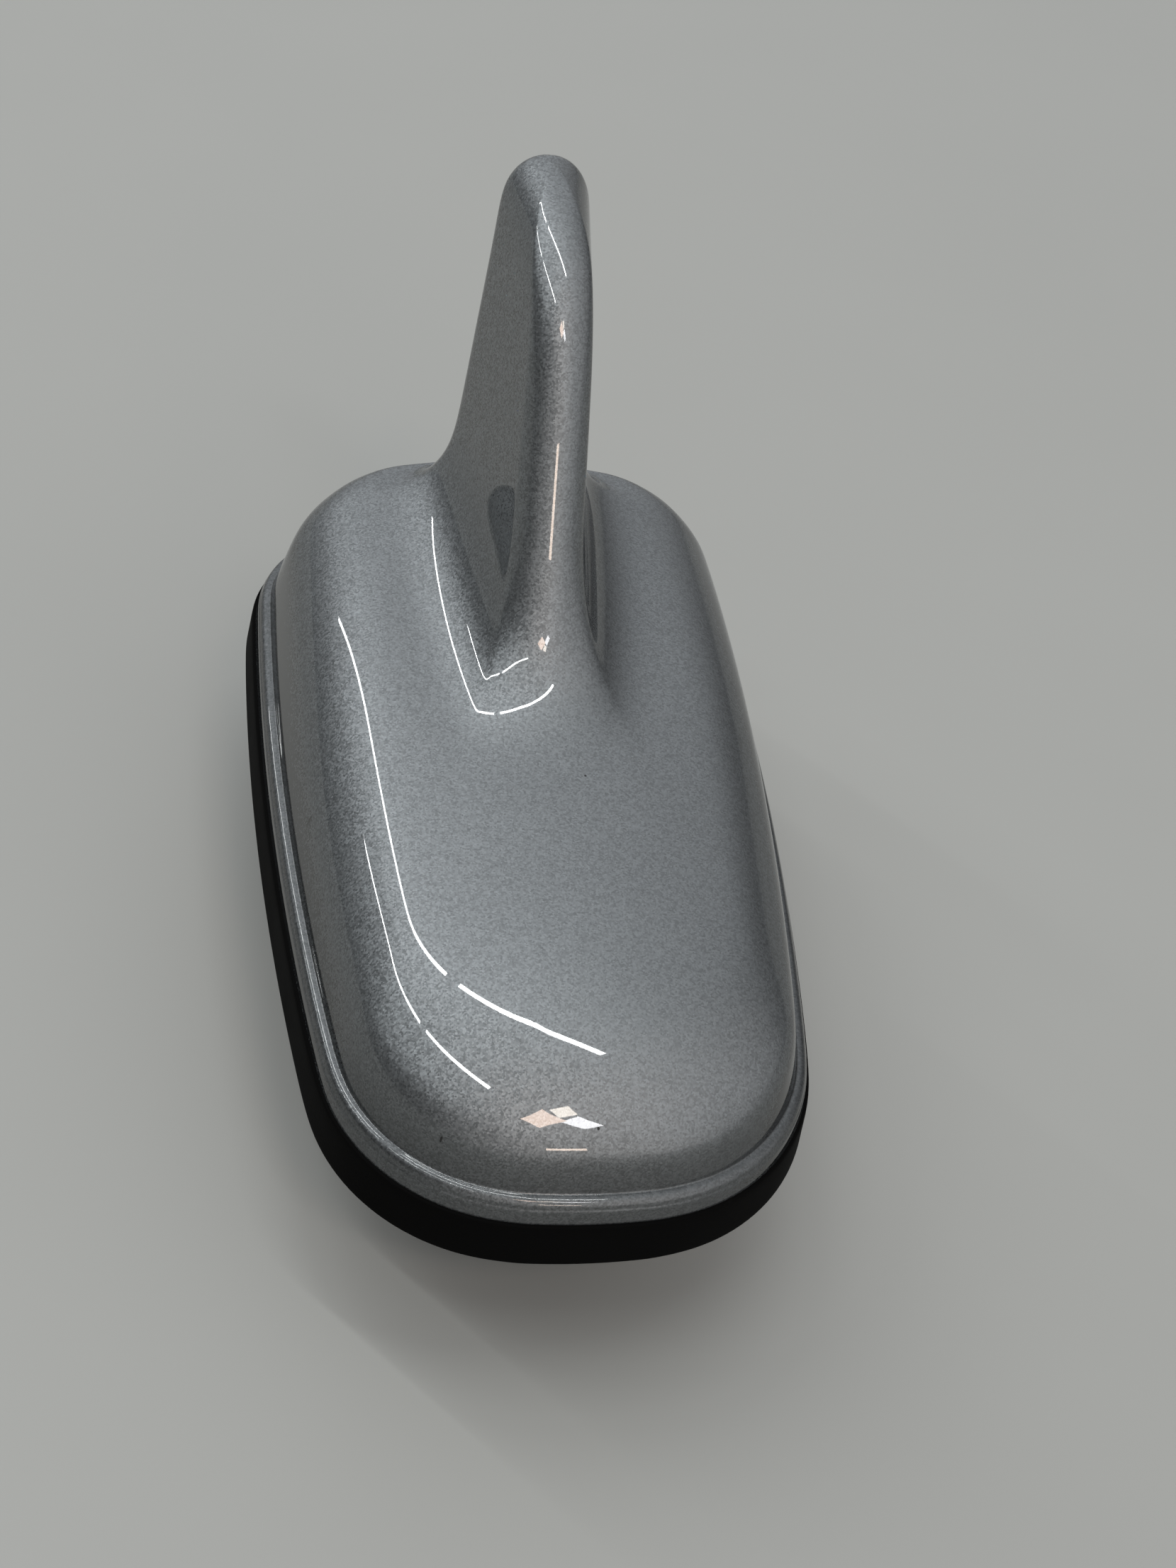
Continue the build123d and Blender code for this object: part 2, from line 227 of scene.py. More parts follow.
@dataclass(frozen=True)
class FlakePaint(Finish):
    """Metallic paint under clear coat: fine flakes, a few dust specks, and painted shade low on the cover.
    """

    flake_pitch: float = 0.00020
    flake_tilt: float = 0.11
    tone_range: float = 0.65
    # Painted shade: the paint's colour falls to this share of its tone low on the cover, rising back to
    # full tone over the reach of heights.
    low_tone: float = 0.56
    low_reach: tuple[float, float] = (0.0098, 0.0175)
    cloud_pitch: float = 0.012
    cloud_range: float = 0.06
    middle: float = 0.5
    metallic: float = 1.0
    roughness: float = 0.48
    edge_tint: Colour = (0.05, 0.05, 0.05)
    coat_weight: float = 1.0
    coat_roughness: float = 0.02
    speck_colour: Colour = (0.012, 0.011, 0.010)
    specks: tuple[tuple[float, float, float], ...] = (
        (-0.0271, -0.0056, 0.00032),
        (0.0030, -0.0074, 0.00018),
        (-0.0161, -0.0482, 0.00016),
        (-0.0003, -0.0494, 0.00020),
    )

    def material(self) -> bpy.types.Material:
        """Mixes the paint.

        Returns:
            The paint.
        """
        material, graph = self.start()
        place = graph.place()
        cells = graph.node("ShaderNodeTexVoronoi", None, {"Vector": place, "Scale": 1.0 / self.flake_pitch})
        chance = graph.out(cells, "Color")
        parts = graph.node("ShaderNodeSeparateColor", None, {"Color": chance})
        flake = graph.out(parts, "Red") - self.middle
        cloud = graph.noise(place, self.cloud_pitch) - self.middle
        tone = 1.0 + flake * self.tone_range + cloud * self.cloud_range
        height = graph.out(graph.node("ShaderNodeSeparateXYZ", None, {"Vector": place}), "Z")
        # Painted shade: the colour is darkened with height below the top of the reach, darkest at the step
        # and skirt.
        tone = tone * (self.low_tone + (1.0 - self.low_tone) * graph.span(height, *self.low_reach))
        colour = graph.scaled(self.colour, tone)
        plan = graph.vector("MULTIPLY", place, (1.0, 1.0, 0.0))
        for x, y, radius in self.specks:
            gap = graph.vector("DISTANCE", plan, (x, y, 0.0), key="Value")
            colour = graph.blend(graph.span(gap, radius, radius / 2), colour, self.speck_colour)
        tilt = graph.scaled(graph.vector("SUBTRACT", chance, (self.middle,) * 3), self.flake_tilt)
        normal = graph.out(graph.node("ShaderNodeNewGeometry"), "Normal")
        leaning = graph.vector("NORMALIZE", graph.vector("ADD", normal, tilt))
        self.shader(
            graph,
            {
                "Base Color": colour,
                "Metallic": self.metallic,
                "Roughness": self.roughness,
                "Normal": leaning,
                "Specular Tint": self.edge_tint,
                "Coat Weight": self.coat_weight,
                "Coat Roughness": self.coat_roughness,
            },
        )
        return material


@dataclass(frozen=True)
class Rubber(Finish):
    """Moulded rubber with a fine grain and a little dust."""

    grain_pitch: float = 0.00035
    grain_depth: float = 0.00004
    grain_strength: float = 0.6
    cloud_pitch: float = 0.009
    detail: float = 3.0
    dust_colour: Colour = (0.012, 0.012, 0.012)
    dust_cloud: tuple[float, float] = (0.60, 0.85)
    dust_grain: tuple[float, float] = (0.5, 0.75)
    dust_share: float = 0.35
    roughness: float = 0.62
    roughness_range: float = 0.18
    sheen_level: float = 0.03

    def material(self) -> bpy.types.Material:
        """Mixes the rubber.

        Returns:
            The rubber.
        """
        material, graph = self.start()
        place = graph.place()
        grain = graph.noise(place, self.grain_pitch, self.detail)
        cloud = graph.noise(place, self.cloud_pitch, self.detail)
        dust = graph.span(cloud, *self.dust_cloud) * graph.span(grain, *self.dust_grain) * self.dust_share
        self.shader(
            graph,
            {
                "Base Color": graph.blend(dust, self.colour, self.dust_colour),
                "Roughness": self.roughness + self.roughness_range * cloud,
                "Specular IOR Level": self.sheen_level,
                "Normal": graph.bump(grain, self.grain_depth, self.grain_strength),
            },
        )
        return material


@dataclass(frozen=True)
class Metal(Finish):
    """Bare, cast, rolled or plated metal."""

    roughness: float = 0.35
    grain: tuple[float, float, float] = (1.0, 1.0, 1.0)
    grain_pitch: float = 0.0004
    grain_depth: float = 0.00001
    grain_strength: float = 0.5
    grain_roughness: float = 0.10
    cloud_size: float = 14.0
    cloud_reach: tuple[float, float] = (0.35, 0.7)
    cloud_roughness: float = 0.08
    polish: float = 0.08
    detail: float = 3.0
    tint: Colour = (0.9, 0.9, 0.9)

    def material(self) -> bpy.types.Material:
        """Mixes the metal.

        Returns:
            The metal.
        """
        material, graph = self.start()
        place = graph.place()
        grain = graph.noise(graph.stretched(place, self.grain), self.grain_pitch, self.detail)
        cloud = graph.noise(place, self.grain_pitch * self.cloud_size, self.detail)
        rough = self.roughness - self.polish + self.grain_roughness * grain + self.cloud_roughness * cloud
        darker = tuple(c * t for c, t in zip(self.colour, self.tint))
        self.shader(
            graph,
            {
                "Base Color": graph.blend(graph.span(cloud, *self.cloud_reach), self.colour, darker),
                "Metallic": 1.0,
                "Roughness": rough,
                "Normal": graph.bump(grain, self.grain_depth, self.grain_strength),
            },
        )
        return material


@dataclass(frozen=True)
class Fired(Finish):
    """Ceramic, ferrite, resin or foam: matt, with a fine grain."""

    roughness: float = 0.55
    grain_pitch: float = 0.00025
    grain_depth: float = 0.000015
    grain_strength: float = 0.5
    grain_reach: tuple[float, float] = (0.3, 0.7)
    grain_roughness: float = 0.12
    polish: float = 0.06
    detail: float = 4.0
    spread: float = 0.16

    def material(self) -> bpy.types.Material:
        """Mixes the matt body.

        Returns:
            The matt body.
        """
        material, graph = self.start()
        place = graph.place()
        grain = graph.noise(place, self.grain_pitch, self.detail)
        paler = tuple(min(1.0, c * (1.0 + self.spread)) for c in self.colour)
        darker = tuple(c * (1.0 - self.spread) for c in self.colour)
        self.shader(
            graph,
            {
                "Base Color": graph.blend(graph.span(grain, *self.grain_reach), darker, paler),
                "Roughness": self.roughness - self.polish + self.grain_roughness * grain,
                "Normal": graph.bump(grain, self.grain_depth, self.grain_strength),
            },
        )
        return material


@dataclass(frozen=True)
class Laminate(Finish):
    """Circuit board: solder resist over copper tracks."""

    track_colour: Colour = (0.06, 0.30, 0.14)
    track_width: float = 0.0006
    track_pitch: float = 0.0036
    track_length: float = 2.6
    track_edge: float = 0.1
    track_depth: float = 0.00003
    track_strength: float = 0.6
    row_offset: float = 0.5
    row_squash: float = 0.6
    squashed_row: int = 3
    weave_pitch: float = 0.0006
    weave_depth: float = 0.15
    roughness: float = 0.30
    weave_roughness: float = 0.16

    def material(self) -> bpy.types.Material:
        """Mixes the board's surface.

        Returns:
            The solder resist.
        """
        material, graph = self.start()
        place = graph.place()
        settings = {
            "offset": self.row_offset,
            "squash": self.row_squash,
            "squash_frequency": self.squashed_row,
        }
        inputs = {
            "Vector": place,
            "Scale": 1.0,
            "Mortar Size": self.track_width / 2,
            "Mortar Smooth": self.track_edge,
            "Brick Width": self.track_pitch * self.track_length,
            "Row Height": self.track_pitch,
        }
        tracks = graph.out(graph.node("ShaderNodeTexBrick", settings, inputs), "Fac")
        weave = graph.noise(place, self.weave_pitch)
        relief = tracks + self.weave_depth * weave
        self.shader(
            graph,
            {
                "Base Color": graph.blend(tracks, self.colour, self.track_colour),
                "Roughness": self.roughness + self.weave_roughness * weave,
                "Normal": graph.bump(relief, self.track_depth, self.track_strength),
            },
        )
        return material


class Slot(Enum):
    """Finishes of the aerial by the record's material slot."""

    cover_paint = FlakePaint("silver_flake_paint", (0.197, 0.210, 0.219))
    gasket_rubber = Rubber("moulded_rubber", (0.0025, 0.0025, 0.0025))
    base_metal = Metal("die_cast_metal", (0.55, 0.55, 0.56), 0.48, grain_pitch=0.0007, grain_depth=0.00004)
    stud_steel = Metal("plated_stud", (0.60, 0.59, 0.54), 0.32, tint=(0.92, 0.90, 0.78))
    screw_steel = Metal("plated_screw", (0.56, 0.56, 0.55), 0.30, tint=(0.86, 0.88, 0.94))
    board_laminate = Laminate("solder_resist", (0.012, 0.12, 0.045))
    pad_foam = Fired("foam_tape", (0.70, 0.69, 0.64), 0.85, grain_depth=0.00006)
    patch_ceramic = Fired("patch_ceramic", (0.62, 0.55, 0.43), 0.60)
    silver_plating = Metal("fired_silver", (0.82, 0.81, 0.76), 0.38, tint=(0.94, 0.93, 0.88))
    tin_plate = Metal("tin_plate", (0.66, 0.66, 0.64), 0.28, grain=(1.0, 0.05, 1.0))
    chip_body = Fired("chip_resin", (0.022, 0.022, 0.024), 0.50)
    filter_ceramic = Fired("filter_ceramic", (0.74, 0.72, 0.65), 0.55)
    choke_ferrite = Fired("choke_ferrite", (0.05, 0.05, 0.052), 0.60)
    capacitor_ceramic = Fired("capacitor_ceramic", (0.36, 0.25, 0.14), 0.42)
    radiator_brass = Metal("radiator_brass", (0.72, 0.55, 0.26), 0.30, grain=(1.0, 1.0, 0.06))
    holder_plastic = Fired("holder_plastic", (0.66, 0.66, 0.62), 0.45, spread=0.06)
    spring_bronze = Metal("spring_bronze", (0.66, 0.42, 0.22), 0.28, grain=(0.06, 1.0, 1.0))


class Finishes:
    """Materials of the aerial, each made once."""

    def __init__(self) -> None:
        """Makes every material."""
        self.made = {slot: slot.value.material() for slot in Slot}

    def dress(self, piece: bpy.types.Object, slot: Slot) -> None:
        """Gives a piece its material alone."""
        piece.data.materials.clear()
        piece.data.materials.append(self.made[slot])


def mirrored(half: np.ndarray) -> np.ndarray:
    """Closes a right-hand half ring, its ends on the centre plane, with its mirror image."""
    return np.vstack((half, half[-2:0:-1] * (-1.0, 1.0, 1.0)))


def level(half: np.ndarray, z: float) -> np.ndarray:
    """Lifts a plan half ring to a height."""
    return np.column_stack((half, np.full(len(half), z)))


def eased(share: np.ndarray) -> np.ndarray:
    """Turns an even run from 0 to 1 into one that starts and ends softly."""
    return share**2 * (3.0 - 2.0 * share)


class RingLoft:
    """Skin that is drawn out of a circle, ring by ring."""

    layer_name = "station"
    merge_gap = 1e-6
    start_radius = 1.0

    def __init__(self, name: str, first: np.ndarray) -> None:
        """Starts a piece with its first ring.

        Args:
            name: Name of the piece.
            first: Points of the ring, in order.
        """
        bpy.ops.object.select_all(action="DESELECT")
        bpy.ops.mesh.primitive_circle_add(vertices=len(first), radius=self.start_radius)
        self.piece = bpy.context.active_object
        self.piece.name = name
        self.piece.data.name = name
        bpy.ops.object.mode_set(mode="EDIT")
        bpy.ops.mesh.select_mode(type="EDGE")
        bpy.ops.mesh.select_all(action="SELECT")
        mesh = bmesh.from_edit_mesh(self.piece.data)
        layer = mesh.verts.layers.int.new(self.layer_name)
        for number, vertex in enumerate(mesh.verts):
            vertex[layer] = number
        self._seat(first)

    def _seat(self, ring: np.ndarray) -> None:
        """Puts the selected ring where it belongs.

        Args:
            ring: Points by station.
        """
        mesh = bmesh.from_edit_mesh(self.piece.data)
        layer = mesh.verts.layers.int[self.layer_name]
        for vertex in mesh.verts:
            if vertex.select:
                vertex.co = ring[vertex[layer]]
        bmesh.update_edit_mesh(self.piece.data)

    def draw(self, rings: Sequence[np.ndarray]) -> None:
        """Extrudes the open end.

        Args:
            rings: Where it passes, in order.
        """
        for ring in rings:
            bpy.ops.mesh.extrude_region_move()
            self._seat(ring)

    def close(self, levels: int, sharp: Optional[float] = None) -> bpy.types.Object:
        """Merges the ends, turns the faces out, rounds the skin and shades it.

        Args:
            levels: Levels of subdivision, or 0 for none.
            sharp: Angle in degrees above which edges stay sharp.

        Returns:
            The finished piece.
        """
        bpy.ops.mesh.select_all(action="SELECT")
        bpy.ops.mesh.remove_doubles(threshold=self.merge_gap)
        bpy.ops.mesh.normals_make_consistent(inside=False)
        mesh = bmesh.from_edit_mesh(self.piece.data)
        mesh.verts.layers.int.remove(mesh.verts.layers.int[self.layer_name])
        bpy.ops.object.mode_set(mode="OBJECT")
        if levels:
            bpy.ops.object.modifier_add(type="SUBSURF")
            rounding = self.piece.modifiers[-1]
            rounding.levels = levels
            rounding.render_levels = levels
            bpy.ops.object.modifier_apply(modifier=rounding.name)
        if sharp is None:
            bpy.ops.object.shade_smooth()
        else:
            bpy.ops.object.shade_smooth_by_angle(angle=math.radians(sharp))
        return self.piece


@dataclass
class PlanOutline:
    """Outline seen from above: nose, side and tail arcs joined by round corners."""

    length: float
    width: float
    widest: float = 0.020
    nose_radius: float = 0.076
    nose_corner: float = 0.023
    side_radius: float = 0.410
    tail_corner: float = 0.016
    tail_radius: float = 0.070
    nose_count: int = 4
    nose_corner_count: int = 7
    side_count: int = 10
    tail_corner_count: int = 7
    tail_count: int = 3
    centres: np.ndarray = field(init=False)
    radii: np.ndarray = field(init=False)
    bearings: np.ndarray = field(init=False)

    def __post_init__(self) -> None:
        """Works out the stations of the right-hand half, from nose to tail."""
        nose = np.array((0.0, self.nose_radius - self.length / 2))
        tail = np.array((0.0, self.length / 2 - self.tail_radius))
        side = np.array((self.width / 2 - self.side_radius, self.widest))
        front = self._corner(nose, self.nose_radius, side, self.nose_corner, -1.0)
        rear = self._corner(tail, self.tail_radius, side, self.tail_corner, 1.0)
        turns = (
            -math.pi / 2,
            math.atan2(*(front - nose)[::-1]),
            math.atan2(*(front - side)[::-1]),
            math.atan2(*(rear - side)[::-1]),
            math.atan2(*(rear - tail)[::-1]),
            math.pi / 2,
        )
        arcs = (
            (nose, self.nose_radius, self.nose_count),
            (front, self.nose_corner, self.nose_corner_count),
            (side, self.side_radius, self.side_count),
            (rear, self.tail_corner, self.tail_corner_count),
            (tail, self.tail_radius, self.tail_count),
        )
        stations = [(nose, self.nose_radius, turns[0])]
        for (centre, radius, count), start, end in zip(arcs, turns, turns[1:]):
            stations += [(centre, radius, turn) for turn in np.linspace(start, end, count + 1)[1:]]
        self.centres = np.array([station[0] for station in stations])
        self.radii = np.array([station[1] for station in stations])
        self.bearings = np.array([station[2] for station in stations])

    def _corner(
        self, end: np.ndarray, end_radius: float, side: np.ndarray, radius: float, sign: float
    ) -> np.ndarray:
        """Centre of the corner arc that touches an end arc and the side arc from inside.

        Args:
            end: Centre of the nose or tail arc.
            end_radius: Its radius.
            side: Centre of the side arc.
            radius: Radius of the corner.
            sign: -1 for the nose, 1 for the tail.

        Returns:
            The centre in plan.
        """
        reach, side_reach = end_radius - radius, self.side_radius - radius
        apart = side - end
        gap = np.linalg.norm(apart)
        along = (reach**2 - side_reach**2 + gap**2) / (2 * gap)
        across = math.sqrt(reach**2 - along**2)
        normal = np.array((-apart[1], apart[0])) / gap
        base = end + apart * along / gap
        return base + normal * across * sign * np.sign(normal[1])

    def rays(self) -> np.ndarray:
        """Directions in which the stations face."""
        return np.column_stack((np.cos(self.bearings), np.sin(self.bearings)))

    def half(self, inset: Union[float, np.ndarray]) -> np.ndarray:
        """Right-hand half of the outline, moved in by inset."""
        return self.centres + self.rays() * np.reshape(self.radii - inset, (-1, 1))

    def ring(self, inset: float, z: float) -> np.ndarray:
        """Whole outline, moved in by inset, at a height."""
        return mirrored(level(self.half(inset), z))

    def circle(self, radius: float, z: float) -> np.ndarray:
        """Circle about the stud with the outline's stations."""
        return mirrored(level(self.rays() * radius, z))


@dataclass
class FinForm:
    """Fin of the cover as level sections: round nose, straight sides, blunt tail.

    Its leading edge rises in a straight rake and arcs over to a crest just ahead of the tail.
    """

    plan: PlanOutline
    tip: float
    root: float = 0.0250
    lead_root: float = 0.0072
    tail_root: float = 0.046
    lead_angle: float = 61.4
    tail_rake: float = 9.0
    nose_root: float = 0.0046
    nose_tip: float = 0.0034
    tail_half_root: float = 0.0081
    tail_half_tip: float = 0.0049
    tail_corner: float = 0.0042
    tip_round: float = 0.0042
    side_round: float = 0.0056
    ridge_length: float = 0.0024
    ridge_ahead: float = 0.7

    def lead(self, z: float) -> float:
        """Place of the straight leading edge at a height."""
        return self.lead_root + (z - self.root) / math.tan(math.radians(self.lead_angle))

    def trail(self, z: float) -> float:
        """Place of the straight trailing edge at a height."""
        return self.tail_root + (z - self.root) * math.tan(math.radians(self.tail_rake))

    def crest(self) -> float:
        """Place of the highest point."""
        return self.trail(self.tip) - self.tip_round

    def arc_radius(self) -> float:
        """Radius of the arc from the straight leading edge to the crest."""
        return (self.crest() - self.lead(self.tip)) / math.tan(math.radians(self.lead_angle) / 2)

    def shoulder(self) -> float:
        """Height at which the leading edge starts to arc over."""
        return self.tip - self.arc_radius() * (1 - math.cos(math.radians(self.lead_angle)))

    def half(self, z: float, inset: float) -> np.ndarray:
        """Right-hand half of the straight-edged section at a height.

        Args:
            z: The height.
            inset: How far the faces are moved in.

        Returns:
            Places in plan with the outline's stations.
        """
        share = (z - self.root) / (self.tip - self.root)
        nose = self.nose_root + (self.nose_tip - self.nose_root) * share - inset
        tail_half = self.tail_half_root + (self.tail_half_tip - self.tail_half_root) * share - inset
        corner = self.tail_corner - inset
        nose_y, tail_x = self.lead(z) + inset + nose, tail_half - corner
        tail_y = self.trail(z) - inset - corner
        reach = math.hypot(tail_x, tail_y - nose_y)
        lean = math.atan2(tail_y - nose_y, tail_x) - math.acos((nose - corner) / reach)
        front_count = self.plan.nose_count + self.plan.nose_corner_count
        front = np.linspace(-math.pi / 2, lean, front_count + 1)
        back = np.linspace(lean, math.pi / 2, self.plan.tail_corner_count + 1)
        nose_arc = np.column_stack((nose * np.cos(front), nose_y + nose * np.sin(front)))
        tail_arc = np.column_stack((tail_x + corner * np.cos(back), tail_y + corner * np.sin(back)))
        side = np.linspace(nose_arc[-1], tail_arc[0], self.plan.side_count + 1)[1:-1]
        end = np.linspace(tail_arc[-1], (0.0, tail_y + corner), self.plan.tail_count + 1)[1:]
        return np.vstack((nose_arc, side, tail_arc, end))

    def cap(self, share: float, inset: float) -> np.ndarray:
        """Half ring of the tip.

        Args:
            share: 0 at the shoulder, 1 on the crest.
            inset: How far the faces are moved in.

        Returns:
            Points with the outline's stations.
        """
        turn = math.radians(self.lead_angle) * (1 - share)
        drop = self.arc_radius() * (1 - math.cos(turn))
        z = self.tip - drop
        section = self.half(z, inset)
        rise = max(self.side_round - drop, 0.0) / self.side_round
        width = math.sqrt(1 - rise**2)
        front = self.crest() - self.arc_radius() * math.sin(turn) + inset
        back = self.trail(z) - self.tip_round * (1 - width) - inset
        low, high = section[0, 1], section[-1, 1]
        along = (section[:, 1] - low) / (high - low)
        if share == 1.0:
            front = self.crest() - self.ridge_ahead * self.ridge_length
            back = front + self.ridge_length
        places = front + (back - front) * along
        return np.column_stack((section[:, 0] * width, places, np.full(len(along), z - inset)))


@dataclass
class CoverForm:
    """Outside of the dome and fin as one skin, drawn along sections from the step line to the fin's tip."""

    plan: PlanOutline
    fin: FinForm
    step: float
    step_inset: float = 0.0027
    wall_draft: float = 13.5
    dome_top: float = 0.0250
    dome_rise: float = 0.066
    crown_radius: float = 0.095
    rear_flat: float = 2.6
    rear_drop: float = 0.0026
    flat_start: float = -0.010
    flat_end: float = 0.045
    nose_wall: float = 0.0079
    nose_slope: float = 42.5
    nose_roll: float = 0.032
    rim_reach: float = 0.0137
    rim_reach_tail: float = 0.0085
    root_reach_nose: float = 0.0140
    root_reach_side: float = 0.0158
    root_reach_tail: float = 0.0045
    least_top: float = 0.014
    least_wall: float = 0.3
    least_reach: float = 1e-6
    limit_power: float = 5.0
    wall_steps: int = 60
    top_steps: int = 160
    blade_steps: int = 120
    rim_rounds: int = 24
    root_rounds: int = 6

    mark_places = (0.0, 1.0, 2.0, 3.0)

    def crown(self, x: np.ndarray, y: np.ndarray, drop: float) -> np.ndarray:
        """Height of the crowned top and sloping nose.

        Args:
            x: Places across.
            y: Places along.
            drop: How far the top and the nose are moved in.

        Returns:
            One height for each place.
        """
        slope, rise = math.radians(self.nose_slope), math.atan(self.dome_rise)
        spread = math.tan(math.radians(self.wall_draft))
        nose_y = self.step_inset - self.plan.length / 2 + self.nose_wall * spread + drop * math.sin(slope)
        nose_z = self.step + self.nose_wall - drop * math.cos(slope)
        lift = self.dome_top - drop - nose_z + math.tan(slope) * nose_y
        brow_y = lift / (math.tan(slope) - self.dome_rise)
        roll = self.nose_roll - drop
        reach = roll * math.tan((slope - rise) / 2)
        end = brow_y + reach * math.cos(rise)
        roll_y = end + roll * math.sin(rise)
        roll_z = self.dome_top - drop + self.dome_rise * end - roll * math.cos(rise)
        nose = nose_z + math.tan(slope) * (y - nose_y)
        rolled = roll_z + np.sqrt(np.maximum(roll**2 - (y - roll_y) ** 2, 0.0))
        behind = np.maximum(y - self.flat_start, 0.0) / (self.flat_end - self.flat_start)
        top = self.dome_top - drop + self.dome_rise * y - self.rear_drop * behind**2
        start = brow_y - reach * math.cos(slope)
        profile = np.where(y < start, nose, np.where(y < end, rolled, top))
        flatness = 1.0 + self.rear_flat * eased(np.minimum(behind, 1.0))
        radius = flatness * (profile - self.dome_top + self.crown_radius)
        return profile - radius + np.sqrt(radius**2 - x**2)

    def rim(self, inset: float) -> np.ndarray:
        """Sharp corner where the drafted wall meets the top.

        Args:
            inset: How far both are moved in.

        Returns:
            Its right-hand half.
        """
        spread = math.tan(math.radians(self.wall_draft))
        height = np.full(len(self.plan.radii), self.dome_top - self.step)
        for _ in range(self.rim_rounds):
            half = self.plan.half(self.step_inset + inset + height * spread)
            height = self.crown(half[:, 0], half[:, 1], inset) - self.step
        return np.column_stack((half, self.step + height))

    def root(self, inset: float) -> np.ndarray:
        """Sharp corner where the fin meets the top.

        Args:
            inset: How far both are moved in.

        Returns:
            Its right-hand half.
        """
        points = []
        for station in range(len(self.plan.radii)):
            z = self.dome_top
            for _ in range(self.root_rounds):
                x, y = self.fin.half(z, inset)[station]
                z = float(self.crown(x, y, inset))
            points.append((x, y, z))
        return np.array(points)

    def along(self, nose: float, side: float, tail: float) -> np.ndarray:
        """Runs a value smoothly round the cover.

        Args:
            nose: Its size at the nose.
            side: Its size where the side starts.
            tail: Its size at the tail.

        Returns:
            The value at each station.
        """
        front = np.linspace(0.0, math.pi / 2, self.plan.nose_count + self.plan.nose_corner_count + 1)
        astern_count = self.plan.side_count + self.plan.tail_corner_count + self.plan.tail_count
        back = np.linspace(0.0, math.pi / 2, astern_count + 1)[1:]
        ahead = side + (nose - side) * np.cos(front) ** 2
        astern = side + (tail - side) * np.sin(back) ** 2
        return np.concatenate((ahead, astern))

    def rings(self, inset: float, marks: Sequence[float], tip_marks: Sequence[float]) -> list[np.ndarray]:
        """Rings of the skin.

        Args:
            inset: How far the skin is moved in.
            marks: Places of the rings: 0 at the step, 1 at the rim, 2 at the root, 3 at the fin's shoulder.
            tip_marks: Places of the last rings: 0 at the shoulder, 1 on the tip's ridge.

        Returns:
            Whole rings from the step line up.
        """
        shoulder = self.fin.shoulder()
        foot = level(self.plan.half(self.step_inset + inset), self.step)
        rim, root = self.rim(inset), self.root(inset)
        neck = level(self.fin.half(shoulder, inset), shoulder - inset)
        rims = self.along(self.rim_reach, self.rim_reach, self.rim_reach_tail)
        roots = self.along(self.root_reach_nose, self.root_reach_side, self.root_reach_tail)
        lower = np.array(
            [
                self._section((foot[j], rim[j], root[j], neck[j]), inset, rims[j], roots[j], marks)
                for j in range(len(foot))
            ]
        )
        halves = list(np.swapaxes(lower, 0, 1)) + [self.fin.cap(share, inset) for share in tip_marks]
        return [mirrored(half) for half in halves]

    def _section(
        self,
        corners: Sequence[np.ndarray],
        inset: float,
        rim_reach: float,
        root_reach: float,
        marks: Sequence[float],
    ) -> np.ndarray:
        """One section from the step to the fin's shoulder, its corners eased by a running mean.

        Args:
            corners: Points on the step line, the sharp rim, the sharp root and the fin's shoulder.
            inset: How far the skin is moved in.
            rim_reach: How far the rim is eased, as long as the step line stays where it is.
            root_reach: How far the root is eased.
            marks: Places of the points, as for rings.

        Returns:
            One point for each mark.
        """
        foot, rim, root, neck = corners
        wall = np.linspace(foot, rim, self.wall_steps + 1)
        top = np.linspace(rim, root, self.top_steps)
        top[1:-1, 2] = self.crown(top[1:-1, 0], top[1:-1, 1], inset)
        blade = np.linspace(root, neck + (neck - root), 2 * self.blade_steps + 1)
        path = np.vstack((wall, top[1:], blade[1:]))
        steps = np.linalg.norm(np.diff(path, axis=0), axis=1)
        run = np.concatenate(((0.0,), np.cumsum(steps)))
        rim_at, root_at = run[self.wall_steps], run[self.wall_steps + self.top_steps - 1]
        end = run[len(run) - 1 - self.blade_steps]
        middle, span = (rim_at + root_at) / 2, max(root_at - rim_at, self.least_top) / 2
        first = max(middle - span, self.least_wall * rim_at)
        at = np.interp(marks, self.mark_places, (self.least_reach, first, middle + span, end))
        share = np.clip((at - rim_at) / (root_at - rim_at), 0.0, 1.0)
        reach = rim_reach + (root_reach - rim_reach) * eased(share)
        reach = at / (1.0 + (at / reach) ** self.limit_power) ** (1.0 / self.limit_power)
        areas = np.cumsum(steps[:, None] * (path[1:] + path[:-1]) / 2, axis=0)
        total = np.vstack((np.zeros(3), areas))
        sums = [np.interp(at + reach, run, part) - np.interp(at - reach, run, part) for part in total.T]
        return np.column_stack(sums) / (2 * reach)[:, None]


class Body:
    """What every piece of the aerial rides on."""

    name = "root"

    @classmethod
    def carry(cls, piece: bpy.types.Object, slot: Slot, node: str) -> None:
        """Hangs a finished piece on the body.

        Args:
            piece: The piece.
            slot: Its finish; not used.
            node: The node whose place it takes.
        """
        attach(piece, cls.name)
        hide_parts(node)
        log.info("%s: %d faces", piece.name, len(piece.data.polygons))


